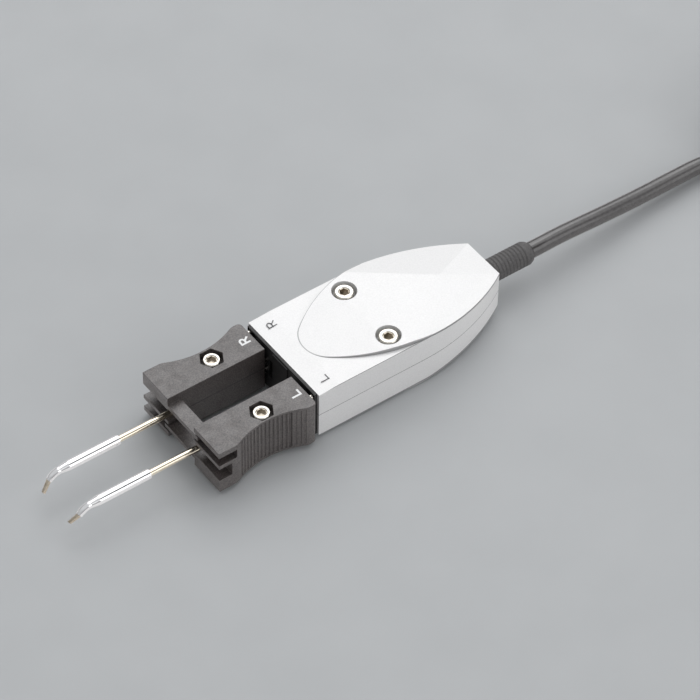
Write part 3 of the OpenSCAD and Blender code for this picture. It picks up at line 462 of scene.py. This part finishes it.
grip_halves = [side + half for side in ("left_", "right_") for half in ("grip_upper", "grip_lower")]
wear(grip_plastic, *grip_halves)
grip_round, grip_in, wall_half, seam_half = 0.0001, 0.00625, 0.0002, 0.00016
eased(grip_round, *grip_halves)
along, across, rise = places(grip_plastic)
on_inner_wall = reckon("COMPARE", across, grip_in, wall_half)
seam_line = reckon("MULTIPLY", reckon("COMPARE", rise, 0.0, seam_half), on_inner_wall)
mark_or_painted_light(grip_plastic, seam_line, (0.006, 0.006, 0.006))
grip_out, grip_h, grip_gap = 0.0183, 0.00755, 0.00184
grip_back = front_x + grip_gap
scallop_depth, scallop_half, scallop_u, scallop_ease = 0.0028, 0.0115, 0.0145, 0.004
scallop_r = (scallop_half ** 2 + scallop_depth ** 2) / (2 * scallop_depth)
ease_v = scallop_r - scallop_depth + scallop_ease
ease_u = np.sqrt((scallop_r + scallop_ease) ** 2 - ease_v ** 2)
rib_pitch, rib_wide, rib_proud, rib_sunk, rib_lip = 0.0013, 0.0006, 0.00022, 0.0001, 0.0007
first_rib, rib_count, slope_step = 6, 4, 1e-5


def scallop_wall(u):
    """Depth of the outer wall's scallop at a distance from its middle: a hollow arc, then a round edge."""
    hollow = scallop_depth - scallop_r + np.sqrt(scallop_r ** 2 - np.minimum(u, ease_u) ** 2)
    edge = scallop_ease - np.sqrt(scallop_ease ** 2 - np.clip(ease_u - u, 0, scallop_ease) ** 2)
    return np.where(u < ease_u * scallop_r / (scallop_r + scallop_ease), hollow, edge)


def gathered(parts):
    """One mesh of several: their points in a row, and their faces counted on from each other."""
    starts = np.cumsum([0] + [len(points) for points, _ in parts])
    faces = [[k + start for k in face] for (_, sides), start in zip(parts, starts) for face in sides]
    return np.vstack([points for points, _ in parts]), faces


def rear_rib(u, way):
    """A rib up the wall: a low arch carried along a line that dips into the wall at both ends."""
    slope = (scallop_wall(u + slope_step) - scallop_wall(u - slope_step)) / (2 * slope_step)
    out = np.array([-slope, way, 0.0]) / np.hypot(slope, 1)
    seat = np.array([grip_back + scallop_u - u, way * (grip_out - scallop_wall(u)), parting_z])
    reach = grip_h - rib_lip
    rises = np.array([-reach, 2 * rib_proud - reach, reach - 2 * rib_proud, reach])
    dips = np.array([1.0, 0.0, 0.0, 1.0]) * rib_proud
    arch = np.linspace(0, np.pi, 9)
    outline = np.vstack([
        [[-rib_wide / 2, -rib_sunk], [rib_wide / 2, -rib_sunk]],
        np.stack([np.cos(arch) * rib_wide / 2, np.sin(arch) * rib_proud], 1)])
    line = seat - dips[:, None] * out + rises[:, None] * upright
    return carried(line, outline, out)


rib_turns = np.arange(first_rib, first_rib + rib_count) * rib_pitch / scallop_r
for way, side in ((1, "left"), (-1, "right")):
    ribs = piece_from(side + "_rear_ribs", *gathered([
        rear_rib(scallop_r * np.sin(turn), way) for turn in rib_turns]))
    ribs.data.materials.append(grip_plastic)
    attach(ribs, side + "_arm")

# Tips
# Drawn brass tubes, clamped in the grips, carry chromed barrels that are bent down at the front. Tinned
# chisel blades, darkened by heat, close the barrels.
tube_brass = grained(
    "tube_brass", (0.74, 0.67, 0.54), (0.82, 0.76, 0.64), 700, 0.1, metallic=1.0, spread=0.02, bump=0.0)
chrome = grained(
    "chrome", (0.86, 0.855, 0.86), (0.9, 0.895, 0.9), 500, 0.08, metallic=1.0, spread=0.02, bump=0.0)
tinned = grained("tinned", (0.46, 0.39, 0.29), (0.66, 0.59, 0.49), 1600, 0.3, metallic=1.0, bump=0.2)
wear(tube_brass, "left_tube", "right_tube")
wear(chrome, "left_barrel", "right_barrel")
wear(tinned, "left_blade", "right_blade")

# Boot and plug
# Grey moulded rubber: the ringed strain relief, held between the shells at the rear of the handle, and the
# sleeve on the plug.
boot_rubber = grained("boot_rubber", (0.08, 0.076, 0.076), (0.12, 0.115, 0.115), 2200, 0.6)
wear(boot_rubber, "cable_boot", "plug_boot")

# Inner pieces
# Steel levers, brass bushes, a green board and ceramic heaters, which show only through the gaps. A coil
# spring is built in two halves, from its middle to each lever, and pairs of wires run from the board to the
# levers' blocks.
lever_steel = grained("lever_steel", (0.3, 0.3, 0.3), (0.4, 0.4, 0.39), 900, 0.35, metallic=1.0)
turned_brass = grained("turned_brass", (0.55, 0.42, 0.2), (0.64, 0.5, 0.26), 900, 0.3, metallic=1.0)
board_green = grained("board_green", (0.01, 0.09, 0.04), (0.015, 0.12, 0.055), 1200, 0.35)
wire_red = grained("wire_red", (0.3, 0.02, 0.012), (0.38, 0.03, 0.018), 1500, 0.45)
wire_blue = grained("wire_blue", (0.015, 0.04, 0.24), (0.02, 0.05, 0.3), 1500, 0.45)
ceramic = grained("ceramic", (0.72, 0.69, 0.62), (0.8, 0.77, 0.7), 1200, 0.4)
wear(lever_steel, "left_lever", "right_lever")
wear(turned_brass, "pivot_bushes", "screw_inserts", "plug_contacts")
wear(board_green, "terminal_board")
wear(wire_red, "conductors")
wear(ceramic, "left_heater", "right_heater")
spring_place = np.array([front_x - 0.018, 0.0, parting_z])
spring_half, spring_r, spring_wire_r, spring_turns, spring_keep = 0.01001, 0.00195, 0.00025, 3.5, 0.94
spring_steps, wire_steps, wire_sides = 90, 60, 8
wire_r, wire_apart, wire_low, wire_over = 0.00055, 0.0013, -0.00125, 0.00315
board_front, board_pad, socket_back, socket_in = -0.0375, 0.00294, -0.009, 0.0059


def half_spring(way):
    """A helix from the middle of the spring to one lever, carried by a circle of the wire's radius."""
    share = np.linspace(0, 1, spring_steps)
    turn = 2 * np.pi * spring_turns * (1 + way * share)
    line = np.stack([spring_r * np.cos(turn), way * spring_half * share, spring_r * np.sin(turn)], 1)
    return carried(spring_place + line, round_outline(spring_wire_r, wire_sides), np.array([0.0, 1.0, 0.0]))


def arm_wire(way, rank):
    """A wire from the board, over the spring and down to the block of one lever: a curve through ten points,
    mirrored for the other side, carried by a circle."""
    step, spring_u = rank * wire_apart, spring_place[0] - front_x
    points = np.array([
        [board_front - board_pad, 0.002 + step, wire_low], [board_front, 0.002 + step, wire_low],
        [board_front + 0.003, 0.0022 + step, wire_low + 0.0008],
        [board_front + 0.008, 0.0026 + step, 0.0014],
        [spring_u - 0.005, 0.0032 + step, wire_over], [spring_u, 0.004 + step, wire_over],
        [spring_u + 0.0035, 0.0052 + step, wire_over - 0.0004],
        [socket_back - 0.003, socket_in + 0.0006 + step, 0.001],
        [socket_back - 0.001, socket_in + 0.00075 + step, 0.0001],
        [socket_back, socket_in + 0.00075 + step, 0.0]])
    line = curve_through(points * [1, way, 1] + [front_x, 0, parting_z], wire_steps)
    return carried(line, round_outline(wire_r, wire_sides), upright)


for way, side in ((1, "left"), (-1, "right")):
    spring = piece_from(side + "_half_spring", *half_spring(way))
    spring.data.materials.append(lever_steel)
    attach(spring, "handle")
    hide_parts("return_spring")
    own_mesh(spring)
    wires = piece_from(side + "_wire_pair", *gathered([arm_wire(way, rank) for rank in (0, 1)]))
    wires.data.materials.append(wire_blue)
    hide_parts(side + "_wires")
    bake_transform(wires)

# Side letters
# Letters for the left and the right side, printed in ink that lies on the surface: bold white on the grips,
# thin grey on the handle.
letter_white = grained("letter_white", (0.84, 0.84, 0.84), (0.9, 0.9, 0.9), 3000, 0.6)
letter_grey = grained("letter_grey", (0.1, 0.1, 0.105), (0.14, 0.14, 0.145), 3000, 0.6)
ink_half, ink_step = 0.00002, 0.000006
bowl = np.linspace(np.pi / 2, -np.pi / 2, 13)
letter_strokes = {
    "L": [np.array([[-0.32, 0.5], [-0.32, -0.5]]), np.array([[-0.4, -0.42], [0.34, -0.42]])],
    "R": [
        np.array([[-0.32, -0.5], [-0.32, 0.5]]),
        np.vstack([
            [[-0.4, 0.42]], np.stack([0.04 + 0.24 * np.cos(bowl), 0.19 + 0.23 * np.sin(bowl)], 1),
            [[-0.4, -0.04]]]),
        np.array([[-0.02, -0.04], [0.34, -0.5]])],
}


def printed(letter, middle, tall, broad, ink, body, name):
    """A letter of flat strokes on a level face, its top towards the tips: each stroke is a thin rectangle
    carried along its line. Letter x runs to the tool's right, letter y forward."""
    outline = np.array([
        [-broad / 2, -ink_half], [broad / 2, -ink_half], [broad / 2, ink_half], [-broad / 2, ink_half]])
    parts = []
    for rank, stroke in enumerate(letter_strokes[letter]):
        flat = np.stack([stroke[:, 1], -stroke[:, 0], np.zeros(len(stroke))], 1)
        place = np.array(middle) + tall * flat + rank * ink_step * upright
        parts.append(carried(place, outline, upright))
    piece = piece_from(name, *gathered(parts), smooth=False)
    piece.data.materials.append(ink)
    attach(piece, body)


grip_letter_u, grip_letter_v, grip_top = 0.0047, 0.01196, 0.0169
handle_letter_u, handle_letter_v, apron_top = 0.0045, 0.0123, 0.0176
for letter, way, side in (("L", 1, "left"), ("R", -1, "right")):
    printed(
        letter, (front_x + grip_letter_u, way * grip_letter_v, grip_top), tall=0.003, broad=0.0006,
        ink=letter_white, body=side + "_arm", name="grip_letter_" + side)
    printed(
        letter, (front_x - handle_letter_u, way * handle_letter_v, apron_top), tall=0.0028, broad=0.00028,
        ink=letter_grey, body="handle", name="handle_letter_" + side)
